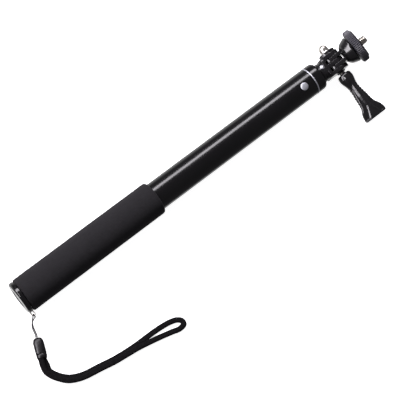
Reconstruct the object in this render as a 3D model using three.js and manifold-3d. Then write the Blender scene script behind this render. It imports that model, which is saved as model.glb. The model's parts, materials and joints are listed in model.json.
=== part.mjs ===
// A telescopic selfie stick for a small camera, collapsed, with its wrist strap laid on the table.
// Millimetres, +Z up. The stick lies along +X, from its butt to its head, and rests on its foam grip.
import * as THREE from 'three';
import { mergeVertices } from 'three/addons/utils/BufferGeometryUtils.js';
import Module from 'manifold-3d';

const wasm = await Module();
wasm.setup();

// Clearances and the number of sides of round bodies
const GAP = 0.3;
const CLOSE_GAP = 0.15;
const RUNNING_GAP = 0.2;
const ROUND = 32;
const SMALL_ROUND = 20;
const HOLE_ROUND = 16;

// Driving dimensions along the stick, from the butt face
const CAP_FLANGE = 3.6;
const CAP_SPIGOT_END = 15;
const GRIP_END = 117.3;
const TUBE_END = 259.7;
const COLLAR_START = 240;
const COLLAR_END = 268.6;
const HINGE_X = 283.8;

// Radii of the handle
const CAP_RADIUS = 12.2;
const CAP_WALL = 2;
const GRIP_RADIUS = 12.7;
const TUBE_OUTER = 10.45;
const TUBE_INNER = 9.45;
const COLLAR_BORE = 6.7;
const RING_WIDTH = 0.8;
const RING_PROUD = 0.2;

// Each telescopic section: tube radii, start of its slider, mouth of its tube, bore it runs in
const SECTIONS = [
  { name: 'section_2', outer: 6.5, inner: 5.9, start: 18, mouth: COLLAR_END - 1.6, runsIn: TUBE_INNER },
  { name: 'section_3', outer: 4.95, inner: 4.35, start: 23, mouth: COLLAR_END - 0.7, runsIn: 5.9 },
  { name: 'section_4', outer: 3.5, inner: 2.7, start: 27, mouth: HINGE_X - 9.1, runsIn: 4.35 },
];
const [section2, section3, section4] = SECTIONS;
const SLIDER_LENGTH = 14.5;
const SLIDER_FLOOR = 3;
const SLIDER_VENT = 1.2;
const BUSH_LENGTH = 14;
const BUSH_FLANGE = 0.5;

// Lock button, pressed towards the stick's axis, and the bowed spring under it
const BUTTON_X = 251.1;
const BUTTON_TURN = THREE.MathUtils.degToRad(21.5);
const BUTTON_RADIUS = 2.9;
const BUTTON_FLANGE = 3.5;
const BUTTON_FOOT = 8.1;
const SPRING = { half: 7.6, width: 4.4, thick: 0.2, end: 8.75, bow: 6.35 };

// Head: three prongs with two slots between them, and the neck behind them, from the hinge
const HEAD_ROLL = THREE.MathUtils.degToRad(12.7);
const PRONG = 2.9;
const SLOT = 3.3;
const PRONG_RADIUS = 7.4;
const HEAD_WIDTH = 3 * PRONG + 2 * SLOT;
const NECK_RADIUS = 7.1;
const NECK_START = COLLAR_END + GAP - HINGE_X;
const NECK_END = -9;
const ROOT = { back: -10, front: -7.6, half: 7, corner: 2.5 };
const TUBE_SEAT = section4.mouth - HINGE_X;

// Pin through the neck and the last section, and the hinge's nut in its boss
const PIN_X = -11.9;
const PIN_TURN = THREE.MathUtils.degToRad(-20);
const PIN_RADIUS = 1.5;
const SCREW_BORE = 2.7;
const SHAFT_RADIUS = 2.4;
const NUT_RADIUS = 4.15;
const NUT_START = 6.35;
const BOSS_END = 10.05;
const BOSS_RADIUS = 6;

// Thumbscrew knob: distance from its start, half width, half thickness
const KNOB_START = 10.4;
const KNOB_BORE = 9;
const KNOB_SECTIONS = [
  [0, 4.6, 4.6], [0.6, 5.3, 5.3], [4, 5.5, 5.4], [8.3, 4.4, 4.4], [12, 3.6, 3.9], [16, 3.9, 3.7],
  [20.4, 4.7, 3.4], [26.7, 5.6, 3], [29.5, 6.7, 2.7], [32.5, 8.2, 2.4], [36.4, 9.5, 2.1], [38.2, 9.4, 1.9],
  [38.7, 8.9, 1.5],
];
const WASHER_RADIUS = 3.4;
const WASHER_THICK = 0.8;

// Camera adapter, bent up at rest, measured from the hinge axis
const ADAPTER_BEND = THREE.MathUtils.degToRad(20);
const CONE_RADIUS = 10.6;
const CONE_END = 15.7;
const CONE_SPIGOT_END = 16.4;
const DISC_START = 17.3;
const DISC_END = 22.8;
const DISC_RADIUS = 13.3;
const DISC_TEETH = 32;
const TOOTH_DEPTH = 0.55;
const PAD_RADIUS = 11.2;
const PAD_THICK = 0.7;
const CAMERA_SCREW = 3.1;
const CAMERA_SCREW_HEAD = 5.6;
const CAMERA_SCREW_TIP = 29;

// Lanyard loop: a bent wire with its two legs in the end cap
const LUG_TURN = THREE.MathUtils.degToRad(18);
const LUG_WIRE = 0.4;
const LUG_LEGS = [0.85, 2.95];
const LUG_FOOT = 9.2;
const LUG_REACH = 14.1;

// Wrist strap: points from the butt, with Z from the table
const THREAD_RADIUS = 0.4;
const THREAD_ROUTE = [
  [-5, -26.2, 2.6], [-4.1, -23.3, 1.8], [-3.4, -20.2, 1.2], [-2.6, -17.7, 1.6], [-1.1, -15.3, 3.1],
  [0.6, -13.9, 4.9], [1.6, -13.3, 6.4], [1.9, -13.5, 8.3], [1.9, -14.1, 8.85], [1.9, -14.8, 8.9],
  [1.9, -15.3, 8.35], [1.9, -15.4, 7.4], [1.3, -15.3, 6.2], [-0.4, -15.6, 4.7], [-2.1, -16.6, 3.3],
  [-3.5, -18.2, 2], [-4.3, -20.4, 1.3], [-4.9, -23.3, 1.8], [-5.9, -25.9, 2.6],
];
const CONNECTOR_TOP = new THREE.Vector3(-5.6, -26.7, 2.75);
const CONNECTOR_END = new THREE.Vector3(-11.3, -40.6, 2.75);
const CONNECTOR_FLATNESS = 0.73;
const CORD_HALF_THICKNESS = 1;
const CORD_HALF_WIDTH = 2.05;
const CORD_ROUTE = [
  [-10.9, -41.6, 1.7], [-11.5, -45.3, 1.2], [-12.6, -49.3, 1.05], [-11.4, -53.1, 1.05], [-8.8, -57.5, 1.05],
  [-5.3, -61.4, 1.05], [-1.2, -64, 1.05], [4.5, -66.2, 1.05], [15.5, -68.4, 1.05], [24.7, -70.4, 1.05],
  [34.4, -71.7, 1.05], [43.4, -72.4, 1.05], [53, -72.6, 1.05], [60, -72.8, 1.05], [66.5, -73.4, 1.05],
  [71.4, -74.3, 1.05], [75.4, -75.8, 1.05], [77.9, -78.4, 1.05], [77.4, -81.2, 1.05], [73.4, -82, 1.05],
  [67.6, -80.4, 1.05], [60, -78.4, 1.1], [52.4, -76.8, 1.7], [42.9, -75.2, 2.9], [34, -74.1, 3.2],
  [24.3, -72.8, 3.2], [15.1, -70.8, 3.2], [3.8, -68.6, 3.2], [-2.4, -66.3, 3.2], [-7, -63.4, 3.2],
  [-10.7, -59, 3.2], [-13.7, -53.9, 3.2], [-14.9, -49.1, 3.2], [-14, -44.6, 3.4], [-12.5, -41, 3.8],
];

const finishes = {
  foam: { color: 0x2b2a2d, roughness: 0.95, metalness: 0 },
  gloss: { color: 0x17161a, roughness: 0.22, metalness: 0 },
  black: { color: 0x1c1b1f, roughness: 0.45, metalness: 0 },
  satin: { color: 0xb9bac4, roughness: 0.35, metalness: 1 },
  nickel: { color: 0xcfcac2, roughness: 0.2, metalness: 1 },
  steel: { color: 0x8c8a88, roughness: 0.35, metalness: 1 },
  rubber: { color: 0x232226, roughness: 0.9, metalness: 0 },
  cord: { color: 0x1d1c1f, roughness: 0.9, metalness: 0 },
};

function piece(name, geometry, finish) {
  const mesh = new THREE.Mesh(geometry, new THREE.MeshStandardMaterial(finishes[finish]));
  mesh.name = name;
  return mesh;
}

// Shapes ------------------------------------------------------------------------------------------

// A round body about the X axis from [x, radius] points, counter-clockwise from its low-x end
function turned(profile, segments = ROUND) {
  const points = profile.map(([x, radius]) => new THREE.Vector2(radius, x));
  return new THREE.LatheGeometry(points, segments).rotateZ(-Math.PI / 2);
}

// A round bar from x0 to x1
function bar(x0, x1, radius, segments = SMALL_ROUND) {
  return turned([[x0, 0], [x0, radius], [x1, radius], [x1, 0]], segments);
}

// A six-sided bar from x0 to x1, by the radius of its corners
function hexBar(x0, x1, radius) {
  return bar(x0, x1, radius, 6);
}

// A round tube from x0 to x1
function sleeve(x0, x1, outer, inner, segments = ROUND) {
  return turned([[x0, outer], [x1, outer], [x1, inner], [x0, inner], [x0, outer]], segments);
}

function extruded(outline, depth, curveSegments) {
  return new THREE.ExtrudeGeometry(outline, { depth, curveSegments, bevelEnabled: false });
}

// A flat plate with its outline in the XZ plane and its thickness from y0 to y1
function plate(outline, y0, y1) {
  return extruded(outline, y1 - y0, 14).rotateX(Math.PI / 2).translate(0, y1, 0);
}

// A body whose outline lies across X, in the YZ plane, from x0 to x1
function across(outline, x0, x1) {
  return extruded(outline, x1 - x0, 8).rotateZ(Math.PI / 2).rotateY(Math.PI / 2).translate(x0, 0, 0);
}

// A closed outline through [x, y] corners
function polygon(corners) {
  const outline = new THREE.Shape(corners.map(([x, y]) => new THREE.Vector2(x, y)));
  outline.closePath();
  return outline;
}

function routeCurve(points) {
  return new THREE.CatmullRomCurve3(points.map((point) => new THREE.Vector3(...point)), false, 'centripetal');
}

// A plain tube of eight sides along a curve, wider across than it is high if it has a half width
function tubeAlong(curve, radius, steps, halfWidth = radius) {
  const sides = 8;
  const section = polygon(Array.from({ length: sides }, (_, i) => {
    const angle = (i + 0.5) * 2 * Math.PI / sides;
    return [radius * Math.cos(angle), halfWidth * Math.sin(angle)];
  }));
  return new THREE.ExtrudeGeometry(section, { steps, extrudePath: curve, bevelEnabled: false });
}

function toSolid(geometry) {
  const bare = new THREE.BufferGeometry();
  bare.setAttribute('position', geometry.getAttribute('position'));
  bare.setIndex(geometry.getIndex());
  const merged = mergeVertices(bare, 1e-4);
  const corners = merged.getIndex().array;
  const triangles = [];
  for (let i = 0; i < corners.length; i += 3) {
    const [a, b, c] = [corners[i], corners[i + 1], corners[i + 2]];
    if (a !== b && b !== c && c !== a) {
      triangles.push(a, b, c);
    }
  }
  const vertProperties = new Float32Array(merged.getAttribute('position').array);
  const triVerts = new Uint32Array(triangles);
  return new wasm.Manifold(new wasm.Mesh({ numProp: 3, vertProperties, triVerts }));
}

function toGeometry(solid) {
  const mesh = solid.getMesh();
  const geometry = new THREE.BufferGeometry();
  geometry.setAttribute('position', new THREE.BufferAttribute(mesh.vertProperties, 3));
  geometry.setIndex(new THREE.BufferAttribute(mesh.triVerts, 1));
  return geometry;
}

// The first list joined, less the second list
function carved(added, removed) {
  let solid = toSolid(added[0]);
  for (const geometry of added.slice(1)) {
    solid = solid.add(toSolid(geometry));
  }
  for (const geometry of removed) {
    solid = solid.subtract(toSolid(geometry));
  }
  return toGeometry(solid);
}

// Handle ------------------------------------------------------------------------------------------

function endCap() {
  const spigot = TUBE_INNER - CLOSE_GAP;
  const bore = spigot - CAP_WALL;
  const cup = turned([
    [0, 0], [0, CAP_RADIUS - 1.2], [1, CAP_RADIUS], [CAP_FLANGE, CAP_RADIUS], [CAP_FLANGE, spigot],
    [CAP_SPIGOT_END, spigot], [CAP_SPIGOT_END, bore], [CAP_FLANGE, bore], [CAP_FLANGE, 0],
  ]);
  const legHoles = LUG_LEGS.map((x) => bar(LUG_FOOT - GAP, CAP_RADIUS + 1, LUG_WIRE + CLOSE_GAP, HOLE_ROUND)
    .rotateZ(-Math.PI / 2).translate(x, 0, 0).rotateX(LUG_TURN));
  return piece('end_cap', carved([cup], legHoles), 'gloss');
}

// Two straight legs joined by a half round bend
function lanyardLoop() {
  const [near, far] = LUG_LEGS;
  const bend = (far - near) / 2;
  const round = [0, 1, 2, 3, 4].map((step) => {
    const turn = Math.PI * step / 4;
    return [near + bend - bend * Math.cos(turn), -LUG_REACH - bend * Math.sin(turn), 0];
  });
  const nearLeg = [new THREE.Vector3(near, -LUG_FOOT, 0), new THREE.Vector3(near, -LUG_REACH, 0)];
  const farLeg = [new THREE.Vector3(far, -LUG_REACH, 0), new THREE.Vector3(far, -LUG_FOOT, 0)];
  const path = new THREE.CurvePath();
  path.add(new THREE.LineCurve3(...nearLeg));
  path.add(new THREE.CatmullRomCurve3(round.map((point) => new THREE.Vector3(...point))));
  path.add(new THREE.LineCurve3(...farLeg));
  return piece('lanyard_loop', tubeAlong(path, LUG_WIRE, 22).rotateX(LUG_TURN), 'nickel');
}

function foamGrip() {
  const bore = TUBE_OUTER + GAP;
  const start = CAP_FLANGE + GAP;
  return piece('foam_grip', turned([
    [start, bore + 1], [start, GRIP_RADIUS - 0.9], [start + 0.9, GRIP_RADIUS],
    [GRIP_END - 1.2, GRIP_RADIUS], [GRIP_END - 0.3, GRIP_RADIUS - 0.5], [GRIP_END, GRIP_RADIUS - 1.3],
    [GRIP_END, bore], [start, bore], [start, bore + 1],
  ]), 'foam');
}

function outerTube() {
  const tube = sleeve(CAP_FLANGE + GAP, TUBE_END, TUBE_OUTER, TUBE_INNER);
  const buttonHole = atButton(bar(TUBE_INNER - 1.5, TUBE_OUTER + 1, BUTTON_RADIUS + RUNNING_GAP));
  return piece('outer_tube', carved([tube], [buttonHole]), 'gloss');
}

function trimRing() {
  const start = TUBE_END + RUNNING_GAP;
  const end = start + RING_WIDTH;
  const proud = TUBE_OUTER + RING_PROUD;
  return piece('trim_ring', turned([
    [start, TUBE_OUTER], [start + RING_PROUD, proud], [end - RING_PROUD, proud], [end, TUBE_OUTER],
    [end, TUBE_INNER], [start, TUBE_INNER], [start, TUBE_OUTER],
  ]), 'satin');
}

// The collar stands in the tube's mouth on a spigot, with a window for the button and its spring
function endCollar() {
  const spigot = TUBE_INNER - 0.25;
  const flange = TUBE_END + RING_WIDTH + 2 * RUNNING_GAP;
  const body = turned([
    [COLLAR_START, spigot], [flange, spigot], [flange, TUBE_OUTER], [COLLAR_END - 2.4, TUBE_OUTER],
    [COLLAR_END - 1.1, TUBE_OUTER - 0.4], [COLLAR_END - 0.3, TUBE_OUTER - 1.3],
    [COLLAR_END, TUBE_OUTER - 2.4], [COLLAR_END, COLLAR_BORE], [COLLAR_START, COLLAR_BORE],
    [COLLAR_START, spigot],
  ]);
  const window = atButton(bar(5, TUBE_INNER, BUTTON_FLANGE + GAP));
  const slot = atButton(new THREE.BoxGeometry(4, SPRING.width + 0.8, 17).translate(TUBE_INNER - 2, 0, 0));
  return piece('end_collar', carved([body], [window, slot]), 'gloss');
}

// Turns a body made along +X into the button's place: its X axis points out of the tube there
function atButton(geometry) {
  return geometry.rotateY(-Math.PI / 2).rotateX(BUTTON_TURN).translate(BUTTON_X, 0, 0);
}

function lockButton() {
  const top = TUBE_OUTER + 0.65;
  return piece('lock_button', atButton(turned([
    [BUTTON_FOOT, 0], [BUTTON_FOOT, BUTTON_FLANGE], [BUTTON_FOOT + 0.4, BUTTON_FLANGE],
    [BUTTON_FOOT + 0.4, BUTTON_RADIUS], [top - 0.75, BUTTON_RADIUS], [top - 0.35, 2.5], [top - 0.15, 1.8],
    [top - 0.05, 0.9], [top, 0],
  ], SMALL_ROUND)), 'satin');
}

// A thin bowed strip under the button, its ends near the tube's wall
function buttonSpring() {
  const { half, width, thick, end, bow } = SPRING;
  const outline = new THREE.Shape();
  outline.moveTo(-half, end);
  outline.quadraticCurveTo(0, bow, half, end);
  outline.lineTo(half, end + thick);
  outline.quadraticCurveTo(0, bow + thick, -half, end + thick);
  const strip = plate(outline, -width / 2, width / 2);
  return piece('button_spring', strip.rotateX(BUTTON_TURN).translate(BUTTON_X, 0, 0), 'steel');
}

// Telescopic sections -----------------------------------------------------------------------------

// A cup on the tube's rear end that runs in the tube around it
function slider(section) {
  const { name, outer, start, runsIn } = section;
  const radius = runsIn - RUNNING_GAP;
  const pocket = outer + CLOSE_GAP;
  const end = start + SLIDER_LENGTH;
  return piece(`${name}_slider`, turned([
    [start, SLIDER_VENT], [start, radius - 0.5], [start + 0.5, radius], [end, radius],
    [end, pocket], [start + SLIDER_FLOOR, pocket], [start + SLIDER_FLOOR, SLIDER_VENT], [start, SLIDER_VENT],
  ]), 'black');
}

// A flanged bush in the tube's mouth that guides the next tube
function bush(section, next) {
  const { name, outer, inner, mouth } = section;
  const start = mouth - BUSH_LENGTH;
  const fit = inner - CLOSE_GAP;
  const bore = next.outer + RUNNING_GAP;
  const flange = mouth + 0.1;
  const end = flange + BUSH_FLANGE;
  return piece(`${name}_bush`, turned([
    [start, fit], [flange, fit], [flange, outer - 0.05], [end, outer - 0.05], [end, bore], [start, bore],
    [start, fit],
  ]), 'black');
}

function sectionTube(section) {
  const { name, outer, inner, start, mouth } = section;
  return piece(`${name}_tube`, sleeve(start + SLIDER_FLOOR + GAP, mouth, outer, inner), 'steel');
}

// Head --------------------------------------------------------------------------------------------
// Made about the hinge: X along the stick, Y along the thumbscrew towards the nut, Z up.

// A round-ended plate about the hinge, reaching back or forward to x
function prongOutline(radius, reach, half) {
  const outline = new THREE.Shape();
  outline.moveTo(reach, -half);
  outline.lineTo(0, -radius);
  outline.absarc(0, 0, radius, -Math.PI / 2, Math.PI / 2, reach > 0);
  outline.lineTo(reach, half);
  outline.closePath();
  return outline;
}

// A rectangle with round corners, centred on the axis
function roundedBlock(halfWidth, halfHeight, corner) {
  const outline = new THREE.Shape();
  const [x, y] = [halfWidth - corner, halfHeight - corner];
  outline.moveTo(-x, -halfHeight);
  outline.lineTo(x, -halfHeight);
  outline.absarc(x, -y, corner, -Math.PI / 2, 0);
  outline.absarc(x, y, corner, 0, Math.PI / 2);
  outline.absarc(-x, y, corner, Math.PI / 2, Math.PI);
  outline.absarc(-x, -y, corner, Math.PI, 1.5 * Math.PI);
  return outline;
}

// Turns a body made along +X into one along the thumbscrew, which points to -Y
function alongScrew(geometry) {
  return geometry.rotateZ(-Math.PI / 2);
}

// Turns a body made along +X into one along the pin, which points up out of the neck
function alongPin(geometry) {
  return geometry.rotateY(-Math.PI / 2).rotateX(PIN_TURN).translate(PIN_X, 0, 0);
}

function pinHole() {
  return alongPin(bar(0, NECK_RADIUS + 2, PIN_RADIUS + CLOSE_GAP, HOLE_ROUND));
}

function headFork() {
  const neck = turned([
    [NECK_START, 0], [NECK_START, NECK_RADIUS - 0.6], [NECK_START + 0.6, NECK_RADIUS],
    [NECK_END, NECK_RADIUS], [NECK_END, 0],
  ]);
  const root = across(roundedBlock(HEAD_WIDTH / 2, ROOT.half, ROOT.corner), ROOT.back, ROOT.front);
  const prongs = [-1, 0, 1].map((place) => {
    const middle = place * (PRONG + SLOT);
    return plate(prongOutline(PRONG_RADIUS, NECK_END, 6.6), middle - PRONG / 2, middle + PRONG / 2);
  });
  const boss = alongScrew(bar(-BOSS_END, -HEAD_WIDTH / 2 + 0.5, BOSS_RADIUS, ROUND));
  const screwBore = alongScrew(bar(-BOSS_END - 1, HEAD_WIDTH / 2 + 1, SCREW_BORE));
  const nutPocket = alongScrew(hexBar(-BOSS_END - 1, -NUT_START + GAP, NUT_RADIUS + GAP));
  const tubeBore = bar(NECK_START - 1, TUBE_SEAT + GAP, section4.outer + CLOSE_GAP, ROUND);
  const fork = carved([neck, root, ...prongs, boss], [screwBore, nutPocket, tubeBore, pinHole()]);
  return piece('head_fork', fork, 'gloss');
}

// The last section's tube, drilled for the pin that holds the head on it
function lastTube() {
  const { name, outer, inner, start } = section4;
  const tube = sleeve(start + SLIDER_FLOOR + GAP - HINGE_X, TUBE_SEAT, outer, inner);
  return piece(`${name}_tube`, carved([tube], [pinHole()]), 'steel');
}

function headPin() {
  const top = NECK_RADIUS + 0.75;
  return piece('head_pin', alongPin(turned([
    [2, 0], [2, PIN_RADIUS], [NECK_RADIUS + 0.2, PIN_RADIUS], [NECK_RADIUS + 0.2, PIN_RADIUS + 0.3],
    [top - 0.25, PIN_RADIUS + 0.2], [top - 0.05, 1.1], [top, 0],
  ], SMALL_ROUND)), 'satin');
}

// An acorn nut whose hexagon sits in the boss
function acornNut() {
  const seat = -BOSS_END + 0.5;
  const dome = turned([
    [-16.2, 0], [-16, 1.1], [-15.3, 2.2], [-14.2, 3.05], [-12.8, 3.4], [seat, 3.4], [seat, 0],
  ]);
  const bore = bar(-12.6, 0, SCREW_BORE - 0.05);
  const nut = carved([dome, hexBar(-BOSS_END, -NUT_START, NUT_RADIUS)], [bore]);
  return piece('acorn_nut', alongScrew(nut), 'nickel');
}

// The knob is round at the fork and flares into a flat paddle
function thumbscrewKnob() {
  const profile = KNOB_SECTIONS.map(([along, width]) => [KNOB_START + along, width]);
  const end = profile[profile.length - 1][0];
  const knob = turned([[KNOB_START, 0], ...profile, [end, 0]], SMALL_ROUND);
  const position = knob.getAttribute('position');
  for (let i = 0; i < position.count; i += 1) {
    const along = position.getX(i) - KNOB_START;
    const [, width, thickness] = KNOB_SECTIONS.reduce((best, section) => (
      Math.abs(section[0] - along) < Math.abs(best[0] - along) ? section : best));
    position.setZ(i, position.getZ(i) * thickness / width);
  }
  const bore = bar(KNOB_START - 1, KNOB_START + KNOB_BORE, SCREW_BORE);
  return piece('thumbscrew_knob', alongScrew(carved([knob], [bore])), 'gloss');
}

function thumbscrewShaft() {
  const [start, end] = [-12.2, KNOB_START + KNOB_BORE - GAP];
  const shaft = turned([
    [start, 0], [start, SHAFT_RADIUS - 0.5], [start + 0.5, SHAFT_RADIUS], [end, SHAFT_RADIUS], [end, 0],
  ], SMALL_ROUND);
  return piece('thumbscrew_shaft', alongScrew(shaft), 'steel');
}

function knobWasher() {
  const start = HEAD_WIDTH / 2 + GAP;
  const washer = sleeve(start, start + WASHER_THICK, WASHER_RADIUS, SCREW_BORE, SMALL_ROUND);
  return piece('knob_washer', alongScrew(washer), 'black');
}

// Camera adapter ----------------------------------------------------------------------------------
// Made about the hinge with X along the adapter, then tilted by the group that holds it.

function adapterBase() {
  const middle = (PRONG + SLOT) / 2;
  const prongs = [-middle, middle].map((y) => (
    plate(prongOutline(PRONG_RADIUS - 0.2, 12, 6.2), y - PRONG / 2, y + PRONG / 2)));
  const cone = turned([
    [7.9, 0], [7.9, 4.2], [8.9, 5.5], [10.9, 7.6], [12.8, 9.3], [14.3, CONE_RADIUS - 0.3],
    [CONE_END - 0.6, CONE_RADIUS], [CONE_END - 0.3, CONE_RADIUS], [CONE_END, CONE_RADIUS - 0.4],
    [CONE_END, 7.2], [CONE_SPIGOT_END, 6.4], [CONE_SPIGOT_END, 0],
  ]);
  const screwBore = alongScrew(bar(-HEAD_WIDTH / 2, HEAD_WIDTH / 2, SCREW_BORE));
  const headPocket = hexBar(12, CONE_SPIGOT_END + 1, CAMERA_SCREW_HEAD + GAP);
  return piece('adapter_base', carved([cone, ...prongs], [screwBore, headPocket]), 'gloss');
}

function cameraScrew() {
  const [start, headEnd] = [12.3, 15.6];
  const shank = turned([
    [start + 1, 0], [start + 1, CAMERA_SCREW], [CAMERA_SCREW_TIP - 0.8, CAMERA_SCREW],
    [CAMERA_SCREW_TIP, CAMERA_SCREW - 0.8], [CAMERA_SCREW_TIP, 0],
  ], SMALL_ROUND);
  return piece('camera_screw', carved([shank, hexBar(start, headEnd, CAMERA_SCREW_HEAD)], []), 'nickel');
}

// A disc with a toothed rim: each tooth has a flat top, and the valley between two is one point
function lockDisc() {
  const pitch = 2 * Math.PI / DISC_TEETH;
  const tooth = [[0, DISC_RADIUS - TOOTH_DEPTH], [0.3, DISC_RADIUS], [0.7, DISC_RADIUS]];
  const corners = Array.from({ length: DISC_TEETH }, (_, i) => tooth.map(([share, radius]) => {
    const angle = (i + share) * pitch;
    return [radius * Math.cos(angle), radius * Math.sin(angle)];
  })).flat();
  const toothed = toSolid(across(polygon(corners), DISC_START, DISC_END));
  const rim = DISC_RADIUS - 1;
  const beyond = DISC_RADIUS + 0.1;
  const rounded = toSolid(turned([
    [DISC_START, 0], [DISC_START, rim], [DISC_START + 0.8, beyond], [DISC_END - 0.8, beyond],
    [DISC_END, rim], [DISC_END, 0],
  ]));
  const bore = toSolid(bar(DISC_START - 1, DISC_END + 1, CAMERA_SCREW + RUNNING_GAP));
  return piece('lock_disc', toGeometry(toothed.intersect(rounded).subtract(bore)), 'black');
}

function discPad() {
  const start = DISC_END + 0.1;
  return piece('disc_pad', sleeve(start, start + PAD_THICK, PAD_RADIUS, CAMERA_SCREW + 0.6), 'rubber');
}

// Wrist strap -------------------------------------------------------------------------------------

function strapConnector() {
  const half = CONNECTOR_TOP.distanceTo(CONNECTOR_END) / 2;
  const body = turned([
    [-half, 0], [-half, 2.6], [-half + 0.7, 3.3], [-half + 1.8, 3.7], [half - 1.4, 3.7], [half - 0.5, 3.5],
    [half, 3.2], [half, 0],
  ], SMALL_ROUND).scale(1, 1, CONNECTOR_FLATNESS);
  const mesh = piece('strap_connector', body, 'black');
  const along = CONNECTOR_END.clone().sub(CONNECTOR_TOP);
  mesh.position.lerpVectors(CONNECTOR_TOP, CONNECTOR_END, 0.5);
  mesh.rotation.z = Math.atan2(along.y, along.x);
  return mesh;
}

// Assembly ----------------------------------------------------------------------------------------

const adapter = new THREE.Group();
adapter.rotation.y = -ADAPTER_BEND;
adapter.add(adapterBase(), cameraScrew(), lockDisc(), discPad());

const head = new THREE.Group();
head.position.x = HINGE_X;
head.rotation.x = HEAD_ROLL;
head.add(lastTube(), headFork(), headPin(), acornNut());
head.add(thumbscrewKnob(), thumbscrewShaft(), knobWasher(), adapter);

const stick = new THREE.Group();
stick.position.z = GRIP_RADIUS;
stick.add(endCap(), lanyardLoop(), foamGrip(), outerTube(), trimRing(), endCollar());
stick.add(lockButton(), buttonSpring());
stick.add(sectionTube(section2), slider(section2), bush(section2, section3));
stick.add(sectionTube(section3), slider(section3), bush(section3, section4), slider(section4), head);

// The origin is under the middle of the stick's own box, on the table
stick.updateMatrixWorld(true);
const middle = new THREE.Box3().setFromObject(stick, true).getCenter(new THREE.Vector3());

const strap = new THREE.Group();
strap.add(piece('strap_thread', tubeAlong(routeCurve(THREAD_ROUTE), THREAD_RADIUS, 40), 'cord'));
strap.add(strapConnector());
strap.add(piece(
  'strap_cord', tubeAlong(routeCurve(CORD_ROUTE), CORD_HALF_THICKNESS, 72, CORD_HALF_WIDTH), 'cord'));

const selfieStick = new THREE.Group();
selfieStick.position.set(-middle.x, -middle.y, 0);
selfieStick.add(stick, strap);

export default selfieStick;
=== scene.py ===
"""The looks of a telescopic selfie stick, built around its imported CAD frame.

Shapes are made in millimetres in the frame of the stick, the head, the adapter or the thumbscrew,
and are then placed in the row frame, in metres.
"""

import json
import math

import bmesh
import bpy
import numpy as np
from mathutils import Matrix, Vector, noise


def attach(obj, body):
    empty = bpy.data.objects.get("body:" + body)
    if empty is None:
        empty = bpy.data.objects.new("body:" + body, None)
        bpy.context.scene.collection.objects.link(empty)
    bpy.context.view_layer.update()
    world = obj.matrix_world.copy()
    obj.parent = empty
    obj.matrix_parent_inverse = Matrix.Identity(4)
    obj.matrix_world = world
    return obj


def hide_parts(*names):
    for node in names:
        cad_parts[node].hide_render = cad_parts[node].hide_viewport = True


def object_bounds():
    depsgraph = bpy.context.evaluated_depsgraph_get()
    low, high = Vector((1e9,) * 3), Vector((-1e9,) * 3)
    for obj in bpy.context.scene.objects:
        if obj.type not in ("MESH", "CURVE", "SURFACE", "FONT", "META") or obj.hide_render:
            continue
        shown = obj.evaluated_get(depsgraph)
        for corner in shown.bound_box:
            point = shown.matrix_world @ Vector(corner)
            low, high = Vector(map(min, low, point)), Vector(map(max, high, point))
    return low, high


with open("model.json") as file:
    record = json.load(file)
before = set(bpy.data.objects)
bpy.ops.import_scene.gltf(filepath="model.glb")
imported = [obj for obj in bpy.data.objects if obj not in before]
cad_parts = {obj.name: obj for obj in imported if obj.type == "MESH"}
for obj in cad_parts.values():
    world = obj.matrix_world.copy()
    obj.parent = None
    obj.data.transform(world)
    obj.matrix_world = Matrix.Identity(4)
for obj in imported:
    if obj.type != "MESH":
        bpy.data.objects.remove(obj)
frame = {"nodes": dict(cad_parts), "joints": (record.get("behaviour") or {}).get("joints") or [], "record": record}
CAD_LOW, CAD_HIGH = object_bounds()

# Frames ---------------------------------------------------------------------------------------------

MM = 0.001
RECORD = frame["record"]
NODES = frame["nodes"]
JOINTS = {joint["name"]: joint for joint in frame["joints"]}
MOUNTS = {mount["name"]: mount for mount in RECORD["mounts"]}
BODY_OF = {node: body for body, nodes in RECORD["behaviour"]["bodies"].items() for node in nodes}
SLOT_OF = {part["node"]: part["material_slot"] for part in RECORD["subparts"]}

BUTT = Vector(MOUNTS["butt_face"]["pos_m"])
HINGE = Vector(JOINTS["adapter_tilt"]["pos_m"])
SCREW_AXIS = Vector(JOINTS["adapter_tilt"]["axis"])
BUTTON_AXIS = -Vector(JOINTS["lock_button_press"]["axis"])
ROLL = math.atan2(-SCREW_AXIS.z, -SCREW_AXIS.y)
BEND = math.acos(JOINTS["lock_disc_turn"]["axis"][0])

STICK = Matrix.Translation(BUTT)
TABLE = Matrix.Translation((BUTT.x, BUTT.y, 0))
HEAD = Matrix.Translation(HINGE) @ Matrix.Rotation(ROLL, 4, "X")
ADAPTER = HEAD @ Matrix.Rotation(-BEND, 4, "Y")
SCREW = HEAD @ Matrix.Rotation(-math.pi / 2, 4, "Z")


def extent(node, place=STICK):
    """A CAD node's lowest and highest corners in a frame, in millimetres."""
    back = place.inverted()
    points = np.array([back @ vertex.co for vertex in NODES[node].data.vertices]) / MM
    return points.min(0), points.max(0)


# Camera ---------------------------------------------------------------------------------------------

CAMERA_FROM_BUTT = Vector((-0.0767, -0.2873, 0.8358))
CAMERA_AZIMUTH = -39.24
CAMERA_ELEVATION = 67.67
CAMERA_LENS = 117

camera = bpy.data.objects.new("camera", bpy.data.cameras.new("camera"))
camera.data.lens = CAMERA_LENS
camera.data.sensor_width = 36
camera.data.clip_start = 0.01
camera.location = BUTT + CAMERA_FROM_BUTT
camera.rotation_euler = (math.radians(90 - CAMERA_ELEVATION), 0, math.radians(CAMERA_AZIMUTH))
bpy.context.scene.collection.objects.link(camera)
bpy.context.scene.camera = camera

# Mesh making ----------------------------------------------------------------------------------------

SIDES = 96
SHARP_ANGLE = 40
MERGE_DISTANCE = 1e-8
VOXEL = 0.18
CORNER_STEPS = (0, 0.25, 0.5, 0.75, 1)


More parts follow.
